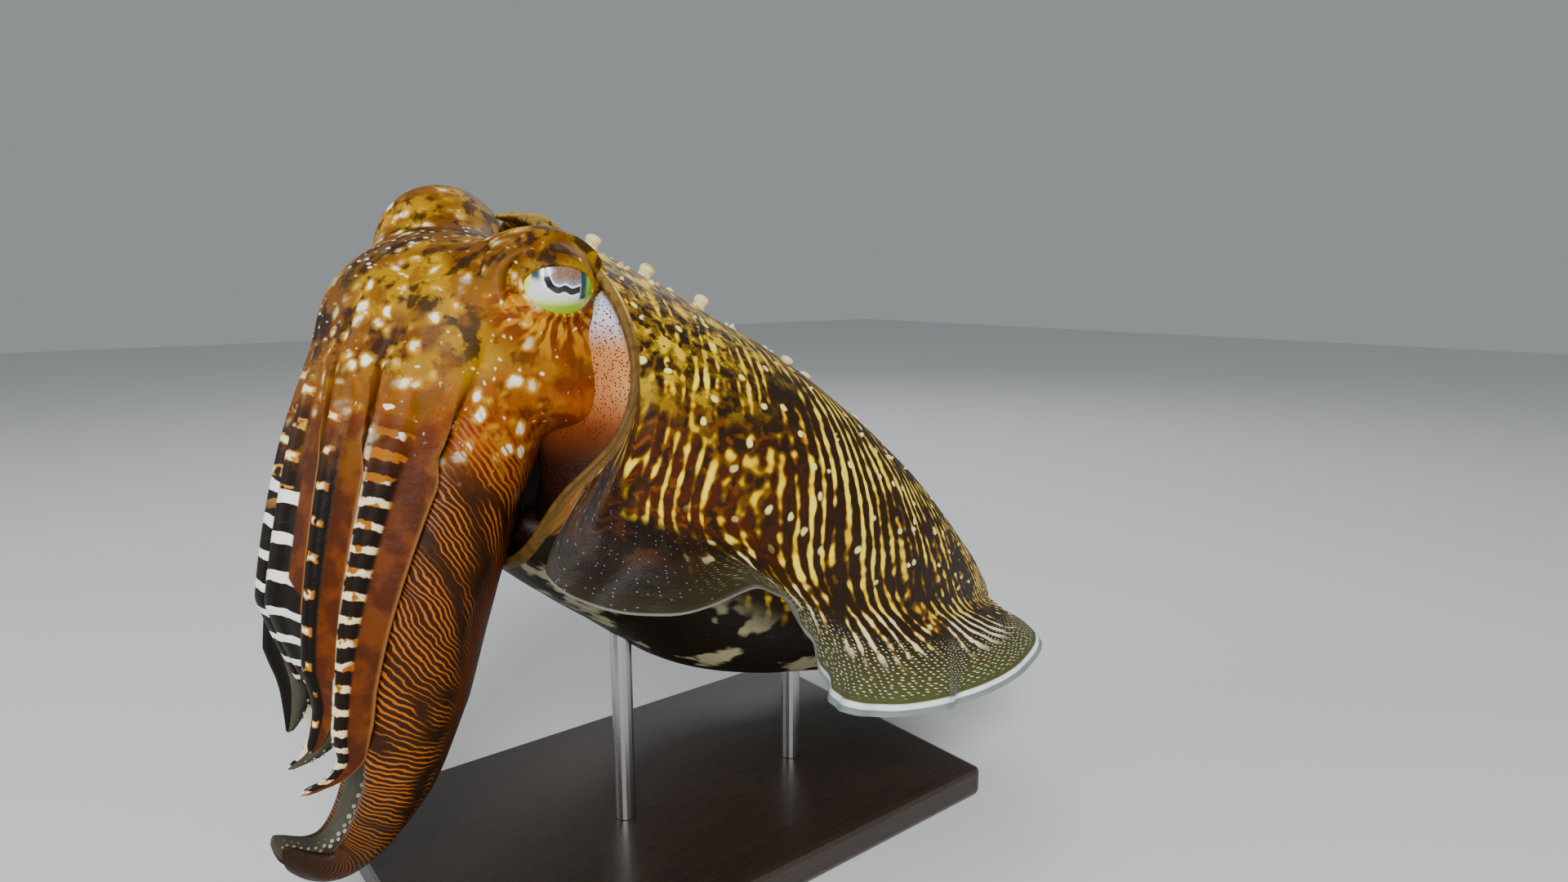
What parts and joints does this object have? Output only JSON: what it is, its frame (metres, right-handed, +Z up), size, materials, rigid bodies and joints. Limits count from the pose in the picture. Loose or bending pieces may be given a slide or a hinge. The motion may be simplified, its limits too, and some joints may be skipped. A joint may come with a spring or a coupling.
{
  "type": "cuttlefish model",
  "caption": "Life-size broadclub cuttlefish hovering nose-up with drooping arms and rippled fins, held over a flat base by two rods",
  "frame": {"origin": "centre of the underside of the stand base, on the surface that the model stands on", "axes": "+Z up; the animal faces -X and its left side faces -Y"},
  "size_m": [0.4069, 0.2333, 0.3138],
  "materials": {
    "mantle_skin": "smooth wet skin, dark brown with wavy golden lines",
    "fin_skin": "thin translucent skin, grey-brown with pale dots and a white edge line",
    "neck_skin": "smooth orange-pink skin with fine dark speckles",
    "head_skin": "smooth wet skin, orange-brown with white spots",
    "arm_skin": "smooth wet skin, brown to black with pale bars, paler on the oral side",
    "eye": "clear glossy cornea over a silvery iris with a dark W-shaped pupil",
    "stand_wood": "dark stained wood, satin",
    "stand_steel": "brushed steel"
  },
  "bodies": {
    "root": {"mantle": "mantle_skin", "fin_left": "fin_skin", "fin_right": "fin_skin", "neck": "neck_skin", "funnel": "neck_skin", "head": "head_skin", "eye_left": "eye", "eye_right": "eye", "arm_1_left_root": "arm_skin", "arm_1_left_tip": "arm_skin", "arm_1_right_root": "arm_skin", "arm_1_right_tip": "arm_skin", "arm_2_left_root": "arm_skin", "arm_2_left_tip": "arm_skin", "arm_2_right_root": "arm_skin", "arm_2_right_tip": "arm_skin", "arm_3_left_root": "arm_skin", "arm_3_left_tip": "arm_skin", "arm_3_right_root": "arm_skin", "arm_3_right_tip": "arm_skin", "arm_4_left_root": "arm_skin", "arm_4_left_mid": "arm_skin", "arm_4_left_tip": "arm_skin", "arm_4_right_root": "arm_skin", "arm_4_right_mid": "arm_skin", "arm_4_right_tip": "arm_skin", "stand_base": "stand_wood", "stand_rod_front": "stand_steel", "stand_rod_rear": "stand_steel"}
  },
  "joints": []
}
